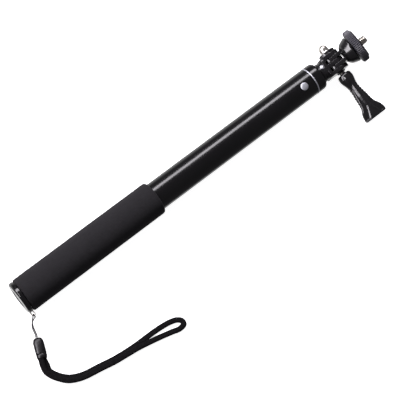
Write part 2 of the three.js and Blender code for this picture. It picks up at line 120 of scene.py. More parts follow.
def skin(rings, looped=False, tips=None):
    """Points and faces over rings of points. The ends close as fans to tips, or to their middles."""
    rings = np.asarray(rings, float)
    rows, count = rings.shape[:2]
    grid = np.arange(rows * count).reshape(rows, count)
    low, high = (grid, np.roll(grid, -1, 0)) if looped else (grid[:-1], grid[1:])
    quads = np.stack([low, high, np.roll(high, -1, 1), np.roll(low, -1, 1)], -1).reshape(-1, 4)
    points, faces = rings.reshape(-1, 3), quads.tolist()
    if not looped:
        ends = tips if tips is not None else (rings[0].mean(0), rings[-1].mean(0))
        points = np.vstack([points, ends])
        for end, ring in enumerate((grid[0], grid[-1])):
            middle = rows * count + end
            faces += [[middle, a, b] for a, b in zip(ring.tolist(), np.roll(ring, -1).tolist())]
    return points, faces


def softened(profile, radius, looped):
    """The profile with each inner corner turned into a small curve."""
    result = []
    last = len(profile) - 1
    for i, corner in enumerate(profile):
        corner = np.array(corner, float)
        if not looped and i in (0, last):
            result.append(corner)
            continue
        sides = [np.array(profile[j], float) - corner for j in (i - 1, (i + 1) % len(profile))]
        lengths = [np.linalg.norm(side) for side in sides]
        reach = min(radius, 0.45 * lengths[0], 0.45 * lengths[1])
        start, end = (corner + side / length * reach for side, length in zip(sides, lengths))
        for t in CORNER_STEPS:
            result.append((1 - t) ** 2 * start + 2 * t * (1 - t) * corner + t * t * end)
    return result


def circle(count=SIDES):
    """The cosines and sines of even steps round a circle."""
    angles = np.arange(count) * 2 * math.pi / count
    return np.cos(angles), np.sin(angles)


def turned(profile, soften=0.25, looped=False, sides=SIDES):
    """A round body about X from [x, radius] points that start and end on the axis, or loop."""
    cosines, sines = circle(sides)
    points = softened(profile, soften, looped)
    tips = None
    if not looped:
        tips = [[points[0][0], 0, 0], [points[-1][0], 0, 0]]
        points = points[1:-1]
    rings = [np.stack([np.full(sides, x), r * cosines, r * sines], -1) for x, r in points]
    return skin(rings, looped, tips)


def sleeve(start, end, outer, inner, soften=0.25):
    """A round tube along X."""
    profile = [[start, outer], [end, outer], [end, inner], [start, inner]]
    return turned(profile, soften, looped=True)


def bar(start, end, radius, sides):
    """A round bar along X."""
    return turned([[start, 0], [start, radius], [end, radius], [end, 0]], 0, sides=sides)


def threaded(start, end, radius, pitch, depth, sides=48, steps=10):
    """A screw's shank with its thread, chamfered at both ends."""
    cosines, sines = circle(sides)
    turn = np.arange(sides) / sides
    rings = []
    for x in np.arange(start, end, pitch / steps):
        ridge = np.abs(2 * ((x / pitch - turn) % 1) - 1)
        tip = max(0.0, 1 - min(x - start, end - x) / pitch)
        r = np.minimum(radius - depth * (1 - ridge), radius - depth * tip)
        rings.append(np.stack([np.full(sides, x), r * cosines, r * sines], -1))
    return skin(rings)


def placed(name, shells, place):
    """One mesh from shells in millimetres, placed by a matrix, with its faces pointing out."""
    points, faces = [], []
    for shell_points, shell_faces in shells:
        start = sum(len(p) for p in points)
        points.append(shell_points)
        faces += [[corner + start for corner in face] for face in shell_faces]
    mesh = bpy.data.meshes.new(name)
    mesh.from_pydata((np.concatenate(points) * MM).tolist(), [], faces)
    mesh.transform(place)
    return smooth(outward(mesh))


def outward(mesh):
    """The mesh with its doubled points merged and its faces pointing out."""
    work = bmesh.new()
    work.from_mesh(mesh)
    bmesh.ops.remove_doubles(work, verts=work.verts, dist=MERGE_DISTANCE)
    bmesh.ops.recalc_face_normals(work, faces=work.faces)
    work.to_mesh(mesh)
    work.free()
    return mesh


def smooth(mesh, sharp_angle=SHARP_ANGLE):
    """The mesh shaded smooth, but for edges sharper than an angle in degrees."""
    mesh.polygons.foreach_set("use_smooth", [True] * len(mesh.polygons))
    mesh.set_sharp_from_angle(angle=math.radians(sharp_angle))
    return mesh


def modified(mesh, *steps):
    """The mesh after a list of modifiers, each a type and its settings."""
    work = bpy.data.objects.new("work", mesh)
    bpy.context.scene.collection.objects.link(work)
    for kind, settings in steps:
        modifier = work.modifiers.new(kind.lower(), kind)
        for key, value in settings.items():
            setattr(modifier, key, value)
    bpy.context.view_layer.update()
    graph = bpy.context.evaluated_depsgraph_get()
    result = bpy.data.meshes.new_from_object(work.evaluated_get(graph))
    bpy.data.objects.remove(work)
    return result


def cut(mesh, *cutters):
    """The mesh less each cutter mesh."""
    for cutter in cutters:
        tool = bpy.data.objects.new("cutter", cutter)
        bpy.context.scene.collection.objects.link(tool)
        mesh = modified(mesh, ("BOOLEAN", {"operation": "DIFFERENCE", "solver": "EXACT", "object": tool}))
        bpy.data.objects.remove(tool)
    return smooth(mesh)


def moulded(name, meshes, place, rounding=4):
    """Closed meshes in the row frame merged on a fine grid that lies along a frame, then eased."""
    to_grid = Matrix.Scale(1 / MM, 4) @ place.inverted()
    points, faces = [], []
    for mesh in meshes:
        start = len(points)
        points += [to_grid @ vertex.co for vertex in mesh.vertices]
        faces += [[corner + start for corner in polygon.vertices] for polygon in mesh.polygons]
    joined = bpy.data.meshes.new(name)
    joined.from_pydata(points, [], faces)
    result = modified(
        joined,
        ("REMESH", {"mode": "VOXEL", "voxel_size": VOXEL, "use_smooth_shade": True}),
        ("SMOOTH", {"factor": 0.5, "iterations": rounding}),
    )
    result.name = name
    result.transform(to_grid.inverted())
    return smooth(result, 180)


def piece(name, mesh, *nodes, body=None, slot=None):
    """A visible piece on its CAD body. It stands for its nodes, and takes their slot and body."""
    body = body or BODY_OF[nodes[0]]
    slot = slot or SLOT_OF[nodes[0]]
    item = bpy.data.objects.new(name, mesh)
    bpy.context.scene.collection.objects.link(item)
    mesh.materials.clear()
    mesh.materials.append(finish(slot))
    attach(item, body)
    if nodes:
        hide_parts(*nodes)
    return item


# Materials ------------------------------------------------------------------------------------------


class Finish:
    """A Principled material with a few noise layers in object coordinates, sizes in millimetres."""

    def __init__(self, name, roughness, metallic=0.0, **sockets):
        self.material = bpy.data.materials.new(name)
        self.material.use_nodes = True
        self.tree = self.material.node_tree
        self.shader = self.tree.nodes["Principled BSDF"]
        self.shader.inputs["Roughness"].default_value = roughness
        self.shader.inputs["Metallic"].default_value = metallic
        for socket, value in sockets.items():
            self.shader.inputs[socket.replace("_", " ")].default_value = value
        self.place = self.tree.nodes.new("ShaderNodeTexCoord").outputs["Object"]

    def link(self, output, node_input):
        self.tree.links.new(output, node_input)

    def grain(self, size, detail=3.0, stretch=(1, 1, 1), kind="noise"):
        """A pattern from 0 to 1 whose features are about size across, longer where stretch is."""
        mapping = self.tree.nodes.new("ShaderNodeMapping")
        mapping.inputs["Scale"].default_value = [1 / s for s in stretch]
        self.link(self.place, mapping.inputs["Vector"])
        kinds = {"noise": "ShaderNodeTexNoise", "cells": "ShaderNodeTexVoronoi"}
        texture = self.tree.nodes.new(kinds[kind])
        texture.inputs["Scale"].default_value = 1 / (size * MM)
        self.link(mapping.outputs["Vector"], texture.inputs["Vector"])
        if kind == "noise":
            texture.inputs["Detail"].default_value = detail
            return texture.outputs["Fac"]
        return texture.outputs["Distance"]

    def ranged(self, value, low, high, start=0.3, end=0.7):
        """value from start to end spread over low to high."""
        node = self.tree.nodes.new("ShaderNodeMapRange")
        for socket, number in zip(("From Min", "From Max", "To Min", "To Max"), (start, end, low, high)):
            node.inputs[socket].default_value = number
        self.link(value, node.inputs["Value"])
        return node.outputs["Result"]

    def colours(self, value, dark, light):
        mix = self.tree.nodes.new("ShaderNodeMix")
        mix.data_type = "RGBA"
        self.link(self.ranged(value, 0, 1), mix.inputs["Factor"])
        mix.inputs["A"].default_value = (*dark, 1)
        mix.inputs["B"].default_value = (*light, 1)
        self.link(mix.outputs["Result"], self.shader.inputs["Base Color"])

    def roughness(self, value, low, high):
        self.link(self.ranged(value, low, high), self.shader.inputs["Roughness"])

    def bumps(self, *layers):
        """Bump layers of (pattern, height in millimetres)."""
        normal = None
        for value, height in layers:
            bump = self.tree.nodes.new("ShaderNodeBump")
            bump.inputs["Distance"].default_value = height * MM
            self.link(value, bump.inputs["Height"])
            if normal:
                self.link(normal, bump.inputs["Normal"])
            normal = bump.outputs["Normal"]
        self.link(normal, self.shader.inputs["Normal"])


def foam():
    """Matte closed-cell foam."""
    made = Finish("foam", 0.95, Sheen_Weight=0.04, Sheen_Roughness=0.6)
    made.shader.inputs["Specular IOR Level"].default_value = 0.2
    cells, mottle = made.grain(0.55, kind="cells"), made.grain(6, 4)
    made.colours(mottle, (0.0125, 0.0115, 0.0135), (0.0175, 0.0165, 0.019))
    made.roughness(mottle, 0.88, 0.98)
    made.bumps((cells, 0.09), (made.grain(0.25), 0.05))
    return made


def gloss(name, dark, light, low, high, peel=1.6, scuffs=(30, 1, 1)):
    """A shiny black coat: slow orange peel, and fine scuffs that change its roughness."""
    made = Finish(name, low)
    made.colours(made.grain(14, 2), dark, light)
    made.roughness(made.grain(0.9, 5, stretch=scuffs), low, high)
    made.bumps((made.grain(peel, 1), 0.004), (made.grain(0.3), 0.0012))
    return made


def plastic(name, dark, light, low, high, grain=0.35, height=0.006, gleam=0.5):
    """A moulded plastic with a fine texture."""
    made = Finish(name, low)
    made.shader.inputs["Specular IOR Level"].default_value = gleam
    made.colours(made.grain(5, 3), dark, light)
    made.roughness(made.grain(1.4, 4), low, high)
    made.bumps((made.grain(grain, 4), height), (made.grain(2.5, 1), 0.004))
    return made


def metal(name, dark, light, low, high, stretch=(1, 1, 1), height=0.002):
    """A bare or plated metal, with fine lines along the stretch."""
    made = Finish(name, low, metallic=1.0)
    made.colours(made.grain(3, 3), dark, light)
    lines = made.grain(0.22, 5, stretch=stretch)
    made.roughness(lines, low, high)
    made.bumps((lines, height))
    return made


def fabric(name, dark, light, sheen, gleam):
    """Twisted or braided fibres, finer than the mesh shows."""
    made = Finish(name, 0.85, Sheen_Weight=sheen, Sheen_Roughness=0.5)
    made.shader.inputs["Specular IOR Level"].default_value = gleam
    fibres = made.grain(0.12, 4, stretch=(3, 1, 1))
    made.colours(made.grain(1.2, 3), dark, light)
    made.roughness(fibres, 0.75, 0.95)
    made.bumps((fibres, 0.03))
    return made


FINISHES = {
    "foam": foam,
    "black_paint": lambda: gloss(
        "black_paint", (0.003, 0.0028, 0.0032), (0.0045, 0.004, 0.0048), 0.17, 0.24),
    "gloss_black_plastic": lambda: gloss(
        "gloss_black_plastic", (0.004, 0.0038, 0.0044), (0.0065, 0.006, 0.007), 0.1, 0.2, peel=2.2),
    "head_plastic": lambda: plastic(
        "head_plastic", (0.0095, 0.009, 0.01), (0.015, 0.014, 0.0155), 0.16, 0.24, height=0.0012),
    "disc_plastic": lambda: plastic("disc_plastic", (0.05, 0.048, 0.06), (0.07, 0.067, 0.084), 0.36, 0.5),
    "inner_plastic": lambda: plastic("inner_plastic", (0.012, 0.012, 0.013), (0.02, 0.02, 0.021), 0.35, 0.5),
    "connector_plastic": lambda: plastic(
        "connector_plastic", (0.006, 0.0055, 0.0065), (0.01, 0.0095, 0.0105), 0.26, 0.34,
        height=0.001, gleam=0.25),
    "pad_rubber": lambda: plastic(
        "pad_rubber", (0.014, 0.013, 0.015), (0.022, 0.021, 0.023), 0.75, 0.9, grain=0.5, height=0.03),
    "satin_metal": lambda: metal("satin_metal", (0.64, 0.65, 0.7), (0.76, 0.77, 0.82), 0.46, 0.58),
    "nickel": lambda: metal("nickel", (0.7, 0.67, 0.62), (0.82, 0.79, 0.74), 0.22, 0.34, height=0.0008),
    "steel": lambda: metal("steel", (0.42, 0.41, 0.4), (0.55, 0.54, 0.53), 0.25, 0.4),
    "bare_aluminium": lambda: metal(
        "bare_aluminium", (0.6, 0.61, 0.63), (0.72, 0.73, 0.75), 0.24, 0.38, stretch=(40, 1, 1)),
    "strap_cord": lambda: fabric("strap_cord", (0.005, 0.0047, 0.0054), (0.01, 0.0095, 0.0105), 0.005, 0.05),
    "strap_thread": lambda: fabric("strap_thread", (0.05, 0.047, 0.05), (0.09, 0.085, 0.09), 0.03, 0.2),
}
made_finishes = {}


def finish(slot):
    """The material of one of the record's slots."""
    if slot not in made_finishes:
        made_finishes[slot] = FINISHES[slot]().material
    return made_finishes[slot]


# Wrist strap ----------------------------------------------------------------------------------------

# Routes in metres from the point of the floor under the butt
THREAD_ROUTE = [
    (-0.005, -0.0262, 0.0026), (-0.0041, -0.0233, 0.0018), (-0.0034, -0.0202, 0.0012),
    (-0.0026, -0.0177, 0.0016), (-0.0011, -0.0153, 0.0031), (0.0006, -0.0139, 0.0049),
    (0.0016, -0.0133, 0.0064), (0.0019, -0.0135, 0.0083), (0.0019, -0.0141, 0.00885),
    (0.0019, -0.0148, 0.0089), (0.0019, -0.0153, 0.00835), (0.0019, -0.0154, 0.0074),
    (0.0013, -0.0153, 0.0062), (-0.0004, -0.0156, 0.0047), (-0.0021, -0.0166, 0.0033),
    (-0.0035, -0.0182, 0.002), (-0.0043, -0.0204, 0.0013), (-0.0049, -0.0233, 0.0018),
    (-0.0059, -0.0259, 0.0026),
]
CORD_ROUTE = [
    (-0.0109, -0.0416, 0.0017), (-0.0115, -0.0453, 0.0012), (-0.0126, -0.0493, 0.00105),
    (-0.0114, -0.0531, 0.00105), (-0.0088, -0.0575, 0.00105), (-0.0053, -0.0614, 0.00105),
    (-0.0012, -0.064, 0.00105), (0.0045, -0.0662, 0.00105), (0.0155, -0.0684, 0.00105),
    (0.0247, -0.0704, 0.00105), (0.0344, -0.0717, 0.00105), (0.0434, -0.0724, 0.00105),
    (0.053, -0.0726, 0.00105), (0.06, -0.0728, 0.00105), (0.0665, -0.0734, 0.00105),
    (0.0714, -0.0743, 0.00105), (0.0754, -0.0758, 0.00105), (0.0779, -0.0784, 0.00105),
    (0.0774, -0.0812, 0.00105), (0.0734, -0.082, 0.00105), (0.0676, -0.0804, 0.00105),
    (0.06, -0.0784, 0.0011), (0.0524, -0.0768, 0.0017), (0.0429, -0.0752, 0.0029),
    (0.034, -0.0741, 0.0032), (0.0243, -0.0728, 0.0032), (0.0151, -0.0708, 0.0032),
    (0.0038, -0.0686, 0.0032), (-0.0024, -0.0663, 0.0032), (-0.007, -0.0634, 0.0032),
    (-0.0107, -0.059, 0.0032), (-0.0137, -0.0539, 0.0032), (-0.0149, -0.0491, 0.0032),
    (-0.014, -0.0446, 0.0034), (-0.0125, -0.041, 0.0038),
]
# The cord's two ends inside the connector
CORD_START = (-0.00995, -0.0393, 0.002)
CORD_FINISH = (-0.01155, -0.0387, 0.0035)
CONNECTOR_TOP = Vector((-0.0056, -0.0267, 0.00275))
CONNECTOR_END = Vector((-0.0113, -0.0406, 0.00275))
THREAD_RADIUS = 0.4
THREAD_PLIES = 3
THREAD_LAY = 2.4
THREAD_DEPTH = 0.2 * THREAD_RADIUS
CORD_HALF_WIDTH = 2.05
CORD_HALF_THICKNESS = 1.0
BRAID_STRANDS = 12
BRAID_LAY = 12.0
BRAID_DEPTH = 0.22
SLEEVE_SIDES = 64
SLEEVE_POWER = 2.3


def along_route(route, step):
    """Points in millimetres an even step apart on a smooth curve through a route in metres."""
    knots = np.array(route) / MM
    knots = np.vstack([2 * knots[0] - knots[1], knots, 2 * knots[-1] - knots[-2]])
    points = []
    for a, b, c, d in zip(knots, knots[1:], knots[2:], knots[3:]):
        t0, t1, t2, t3 = np.cumsum([0] + [math.dist(p, q) ** 0.5 for p, q in ((a, b), (b, c), (c, d))])
        for t in np.linspace(t1, t2, 24, endpoint=False):
            ab = ((t1 - t) * a + (t - t0) * b) / (t1 - t0)
            bc = ((t2 - t) * b + (t - t1) * c) / (t2 - t1)
            cd = ((t3 - t) * c + (t - t2) * d) / (t3 - t2)
            abc = ((t2 - t) * ab + (t - t0) * bc) / (t2 - t0)
            bcd = ((t3 - t) * bc + (t - t1) * cd) / (t3 - t1)
            points.append(((t2 - t) * abc + (t - t1) * bcd) / (t2 - t1))
    points = np.array(points + [knots[-2]])
    reached = np.concatenate([[0], np.cumsum(np.linalg.norm(np.diff(points, axis=0), axis=1))])
    places = np.linspace(0, reached[-1], int(reached[-1] / step) + 1)
    return np.stack([np.interp(places, reached, points[:, i]) for i in range(3)], -1), places


def across_next(across, level, direction):
    """The next direction across a route: level if the route is, and else turned as little as possible."""
    if across is None or np.linalg.norm(level) > 0.6:
        across = level if across is None or level @ across > 0 else -level
    across = across - direction * (across @ direction)
    return across / np.linalg.norm(across)


def rope(name, route, step, sides, half_width, half_height, relief):
    """A mesh tube along a route, oval with its width level.

    relief(places, turns) gives how far its points sink. The tube's path and length are in metres.
    """
    line, places = along_route(route, step)
    ahead = np.gradient(line, axis=0)
    ahead /= np.linalg.norm(ahead, axis=1)[:, None]
    angles = np.arange(sides) * 2 * math.pi / sides
    depths = relief(places[:, None], angles[None, :] / (2 * math.pi))
    across = None
    rings = []
    for centre, direction, depth in zip(line, ahead, depths):
        level = np.cross(direction, (0, 0, 1))
        across = across_next(across, level, direction)
        up = np.cross(across, direction)
        wide, high = (half_width - depth) * np.cos(angles), (half_height - depth) * np.sin(angles)
        rings.append(centre + wide[:, None] * across + high[:, None] * up)
    path = [TABLE @ Vector(point * MM) for point in line]
    return placed(name, [skin(rings)], TABLE), path, places[-1] * MM


def braid(places, turns):
    """Two sets of twelve strands that cross over and under each other."""
    left = BRAID_STRANDS * (turns + places / BRAID_LAY)
    right = BRAID_STRANDS * (turns - places / BRAID_LAY)
    over = (np.floor(left) + np.floor(right)) % 2 == 0
    crown = np.sin(math.pi * (np.where(over, left, right) % 1))
    swell = np.sin(math.pi * (np.where(over, right, left) % 1))
    return BRAID_DEPTH * (1 - crown ** 0.6 * (0.45 + 0.55 * swell))


def twist(places, turns):
    """Three plies laid round each other."""
    crown = np.abs(np.sin(math.pi * THREAD_PLIES * (turns - places / THREAD_LAY)))
    return THREAD_DEPTH * (1 - crown)


def rounded(values, power):
    """Cosines or sines bent from a circle's, at power 2, towards a square's."""
    return np.sign(values) * np.abs(values) ** (2 / power)


def lofted(stations):
    """A body along X over [x, half width, half height] stations, with very round corners."""
    cosines, sines = (rounded(values, SLEEVE_POWER) for values in circle(SLEEVE_SIDES))
    rings = [np.stack([np.full(SLEEVE_SIDES, x), w * cosines, h * sines], -1) for x, w, h in stations]
    return skin(rings)


def strap():
    """The moulded connector, the thread doubled through the lanyard loop, and the braided wrist loop."""
    along = CONNECTOR_END - CONNECTOR_TOP
    half = along.length / 2 / MM
    middle = TABLE @ ((CONNECTOR_TOP + CONNECTOR_END) / 2)
    place = Matrix.Translation(middle) @ Matrix.Rotation(math.atan2(along.y, along.x), 4, "Z")
    body = [
        [-half, 1.0, 0.8], [-half + 0.1, 1.7, 1.3], [-half + 0.4, 2.4, 1.8], [-half + 1, 3, 2.2],
        [-half + 2, 3.4, 2.5], [-half + 3.4, 3.65, 2.66], [0, 3.7, 2.7], [half - 4.4, 3.68, 2.68],
        [half - 3.5, 3.62, 2.62], [half - 3.3, 3.4, 2.4],
    ]
    ferrule = [
        [half - 3.1, 3.1, 2.2], [half - 3, 3.45, 2.5], [half - 2.7, 3.6, 2.6], [half - 0.9, 3.5, 2.55],
        [half - 0.3, 3.3, 2.4], [half, 2.9, 2.1],
    ]
    connector = piece("strap_sleeve", placed("strap_sleeve", [lofted(body)], place), "strap_connector")
    collar = piece("strap_ferrule", placed("strap_ferrule", [lofted(ferrule)], place),
                   body="handle", slot="connector_plastic")

    mesh, path, length = rope(
        "strap_thread_plies", THREAD_ROUTE, 0.12, 18, THREAD_RADIUS, THREAD_RADIUS, twist)
    thread = piece("strap_thread_plies", mesh, "strap_thread")

    route = [CORD_START, *CORD_ROUTE, CORD_FINISH]
    mesh, path, length = rope(
        "strap_braid", route, 0.24, 72, CORD_HALF_WIDTH, CORD_HALF_THICKNESS, braid)
    braided = piece("strap_braid", mesh, "strap_cord")


# Floor and lights -----------------------------------------------------------------------------------

FLOOR_SIZE = 40.0
FLOOR_CELLS = 8
FLOOR_GLOW = 0.93
KEY_DISTANCE = 0.95
KEY_ANGLE = math.radians(36)
KEY_SIZE = (1.5, 0.3)
KEY_POWER = 15
SIDE_OFFSET = Vector((-0.65, 0.22, 0.565))
SIDE_SIZE = (0.66, 0.24)
SIDE_POWER = 8.2
LIGHT_TINT = (1, 0.965, 1.02)
WALL_COLOUR = (0.15, 0.148, 0.155, 1)
SWEEP_COLOUR = (1.05, 1.05, 1.05, 1)


def floor():
    """A pale floor that glows like a light table, and doesn't light the underside of the stick."""
    grid = np.linspace(-FLOOR_SIZE / 2, FLOOR_SIZE / 2, FLOOR_CELLS + 1)
    points = [(x, y, 0) for y in grid for x in grid]
    numbers = np.arange(len(points)).reshape(FLOOR_CELLS + 1, -1)
    corners = (numbers[:-1, :-1], numbers[:-1, 1:], numbers[1:, 1:], numbers[1:, :-1])
    faces = np.stack(corners, -1).reshape(-1, 4).tolist()
    mesh = bpy.data.meshes.new("floor")
    mesh.from_pydata(points, [], faces)
    item = bpy.data.objects.new("floor", mesh)
    bpy.context.scene.collection.objects.link(item)
    made = Finish("floor", 0.7, Emission_Color=(1, 1, 1, 1), Emission_Strength=FLOOR_GLOW)
    made.colours(made.grain(60, 3), (0.86, 0.86, 0.86), (0.88, 0.88, 0.88))
    mesh.materials.append(made.material)
    item.visible_diffuse = False
    item.visible_glossy = False


def area_light(name, location, target, size, power):
    """A rectangular light that faces a target."""
    light = bpy.data.lights.new(name, "AREA")
    light.shape = "RECTANGLE"
    light.size, light.size_y = size
    light.energy = power
    light.color = LIGHT_TINT
    item = bpy.data.objects.new(name, light)
    item.location = location
    item.rotation_euler = (Vector(target) - Vector(location)).to_track_quat("-Z", "Y").to_euler()
    bpy.context.scene.collection.objects.link(item)
    return item


def studio():
    """Dim walls, with a white sweep low down on the far side of the stick."""
    world = bpy.data.worlds.new("studio")
    bpy.context.scene.world = world
    world.use_nodes = True
    tree = world.node_tree
    place = tree.nodes.new("ShaderNodeTexCoord")
    split = tree.nodes.new("ShaderNodeSeparateXYZ")
    tree.links.new(place.outputs["Generated"], split.inputs["Vector"])

    def share(axis, dark, bright):
        """How far a direction is from dark to bright along an axis, from 0 to 1."""
        node = tree.nodes.new("ShaderNodeMapRange")
        node.interpolation_type = "SMOOTHSTEP"
        node.inputs["From Min"].default_value = dark
        node.inputs["From Max"].default_value = bright
        tree.links.new(split.outputs[axis], node.inputs["Value"])
        return node.outputs["Result"]

    def combined(operation, first, second):
        node = tree.nodes.new("ShaderNodeMath")
        node.operation = operation
        tree.links.new(first, node.inputs[0])
        tree.links.new(second, node.inputs[1])
        return node.outputs["Value"]

    sweep = combined("MULTIPLY", share("Y", 0.15, 0.7), share("Z", 0.15, -0.35))
    white = combined("MAXIMUM", sweep, share("Z", -0.78, -0.92))
    mix = tree.nodes.new("ShaderNodeMix")
    mix.data_type = "RGBA"
    mix.inputs["A"].default_value = WALL_COLOUR
    mix.inputs["B"].default_value = SWEEP_COLOUR
    tree.links.new(white, mix.inputs["Factor"])
    tree.links.new(mix.outputs["Result"], tree.nodes["Background"].inputs["Color"])


def lights():
    """A long key light over the far side of the stick, and one beyond its butt for highlights only."""
    middle = (CAD_LOW + CAD_HIGH) / 2
    key = middle + KEY_DISTANCE * Vector((0, math.sin(KEY_ANGLE), math.cos(KEY_ANGLE)))
    area_light("key", key, middle, KEY_SIZE, KEY_POWER)
    side = area_light("side", middle + SIDE_OFFSET, middle, SIDE_SIZE, SIDE_POWER)
    side.visible_diffuse = False


# Handle ---------------------------------------------------------------------------------------------

FIT = 0.15
TUBE_WALL = 1.0
CAP_GAP = 0.3
CAP_WALL = 2
FOAM_ROOM = 0.06
FOAM_GAP = 0.05
DISH_DEPTH = 0.35
DISH_RADIUS = 6.4
WIRE_RADIUS = 0.4
WIRE_FOOT = 9.2
RING_DEPTH = 1.2
COLLAR_STEP = 1.25
BUTTON_RADIUS = 2.9
BUTTON_HOLE = 3.1
BUTTON_WINDOW = 3.8


def end_cap():
    """A shallow cup with a dished face, whose spigot fits in the tube."""
    high = extent("end_cap")[1]
    flange = extent("foam_grip")[0][0] - CAP_GAP
    radius = high[2]
    spigot = extent("outer_tube")[1][2] - TUBE_WALL - FIT
    shell = turned([
        [DISH_DEPTH, 0], [DISH_DEPTH, DISH_RADIUS], [0, DISH_RADIUS + 0.5], [0, radius - 1], [1, radius],
        [flange - 0.5, radius], [flange, radius - 0.5], [flange, spigot], [high[0], spigot],
        [high[0], spigot - CAP_WALL], [flange, spigot - CAP_WALL], [flange, 0],
    ], soften=0.45)
    piece("end_cap_moulding", placed("end_cap_moulding", [shell], STICK), "end_cap")


def lanyard_loop():
    """A round wire bent into a loop, its legs in the cap."""
    low, high = extent("lanyard_loop")
    near, far = low[0] + WIRE_RADIUS, high[0] - WIRE_RADIUS
    bend = (far - near) / 2
    turn = math.atan2(low[2] + high[2], low[1] + high[1]) + math.pi
    reach = math.hypot(low[1], low[2]) - bend - WIRE_RADIUS * 1.2
    half_turn = np.linspace(0, math.pi, 25)
    line = [(near, -WIRE_FOOT)]
    line += [(near + bend - bend * math.cos(a), -reach - bend * math.sin(a)) for a in half_turn]
    line += [(far, -WIRE_FOOT)]
    rings = []
    cosines, sines = circle(20)
    for i, point in enumerate(line):
        before, after = line[max(i - 1, 0)], line[min(i + 1, len(line) - 1)]
        ahead = np.subtract(after, before) / math.dist(after, before)
        side = np.array((-ahead[1], ahead[0]))
        flat = np.array(point) + WIRE_RADIUS * cosines[:, None] * side
        rings.append(np.column_stack([flat, WIRE_RADIUS * sines]))
    place = STICK @ Matrix.Rotation(turn, 4, "X")
    piece("lanyard_wire", placed("lanyard_wire", [skin(rings)], place), "lanyard_loop")


def foam_wave(point):
    """How far the foam swells at a point, in long waves and short ones."""
    return noise.noise(point * 0.12) * 0.05 + noise.noise(point * 0.9) * 0.035


def foam_grip():
    """A foam sleeve whose surface is slightly uneven, with rounded ends. Its waves need room in the CAD's."""
    low, high = extent("foam_grip")
    start, end, radius = low[0], high[0], high[2] - FOAM_ROOM
    bore = extent("outer_tube")[1][2] + FOAM_GAP
    sides = 160
    rows = 230
    profile = [[start, bore], [start, radius - 1.2], [start + 0.25, radius - 0.45], [start + 1, radius]]
    profile += [[x, radius] for x in np.linspace(start + 1, end - 1.6, rows)[1:-1]]
    profile += [
        [end - 1.6, radius], [end - 0.7, radius - 0.3], [end - 0.15, radius - 0.9], [end, radius - 1.5],
        [end, bore],
    ]
    cosines, sines = circle(sides)
    rings = []
    for x, r in profile:
        ring = np.stack([np.full(sides, x), r * cosines, r * sines], -1)
        if r > bore:
            waves = [foam_wave(Vector(point)) for point in ring]
            ring[:, 1:] *= (1 + np.array(waves) / r)[:, None]
        rings.append(ring)
    item = piece("foam_sleeve", placed("foam_sleeve", [skin(rings, looped=True)], STICK), "foam_grip")


def at_button():
    """The frame at the lock button whose X axis points out of the tube."""
    low, high = extent("lock_button")
    turn = math.atan2(-BUTTON_AXIS.y, BUTTON_AXIS.z)
    spot = Matrix.Translation(((low[0] + high[0]) / 2 * MM, 0, 0))
    return STICK @ spot @ Matrix.Rotation(turn, 4, "X") @ Matrix.Rotation(-math.pi / 2, 4, "Y")


def outer_tube():
    """The lacquered tube, with the hole for the button."""
    low, high = extent("outer_tube")
    shell = sleeve(low[0], high[0], high[2], high[2] - TUBE_WALL, soften=0.12)
    hole = placed("hole", [bar(high[2] - 3, high[2] + 2, BUTTON_HOLE, 64)], at_button())
    piece("tube_lacquered", cut(placed("tube_lacquered", [shell], STICK), hole), "outer_tube")


def trim_ring():
    """The bright ring between the tube and the collar."""
    low, high = extent("trim_ring")
    ring = sleeve(low[0], high[0], high[2], high[2] - RING_DEPTH, 0.3)
    piece("ring_trim", placed("ring_trim", [ring], STICK), "trim_ring")


def end_collar():
    """The collar in the tube's mouth, with a rounded nose and a window for the button."""
    low, high = extent("end_collar")
    ring_end = extent("trim_ring")[1][0] + 0.1
    end, radius = high[0], high[2]
    spigot, bore = radius - COLLAR_STEP, extent("section_2_tube")[1][2] + 0.2
    shell = turned([
        [low[0], spigot], [ring_end, spigot], [ring_end, radius], [end - 2.4, radius],
        [end - 1.1, radius - 0.4], [end - 0.3, radius - 1.3], [end, radius - 2.4], [end, bore + 0.3],
        [end - 0.5, bore], [low[0], bore],
    ], soften=0.3, looped=True)
    collar = placed("collar_moulding", [shell], STICK)
    window = placed("window", [bar(bore - 1, radius - 0.9, BUTTON_WINDOW, 64)], at_button())
    piece("collar_moulding", cut(collar, window), "end_collar")


def lock_button():
    """A flanged button with a slightly domed top."""
    low, high = extent("lock_button", at_button())
    foot, top, flange = low[0], high[0], high[2]
    shell = turned([
        [foot, 0], [foot, flange], [foot + 0.4, flange], [foot + 0.4, BUTTON_RADIUS],
        [top - 0.7, BUTTON_RADIUS], [top - 0.3, 2.55], [top - 0.12, 1.8], [top - 0.03, 0.9], [top, 0],
    ], soften=0.2, sides=64)
    piece("button_turned", placed("button_turned", [shell], at_button()), "lock_button")


def button_spring():
    """The bowed strip under the button, with its rounded edges."""
    mesh = modified(
        NODES["button_spring"].data.copy(),
        ("BEVEL", {"width": 0.05 * MM, "segments": 2, "limit_method": "ANGLE"}),
    )
    piece("spring_strip", smooth(mesh), "button_spring")


# Telescopic sections --------------------------------------------------------------------------------

SECTION_WALLS = {"section_2": 0.6, "section_3": 0.6, "section_4": 0.8}
GROOVE_PLACES = (0.45, 0.6, 0.75)
GROOVE_DEPTH = 0.2
SLIDER_FLOOR = 3
SLIDER_BORE = 1.2


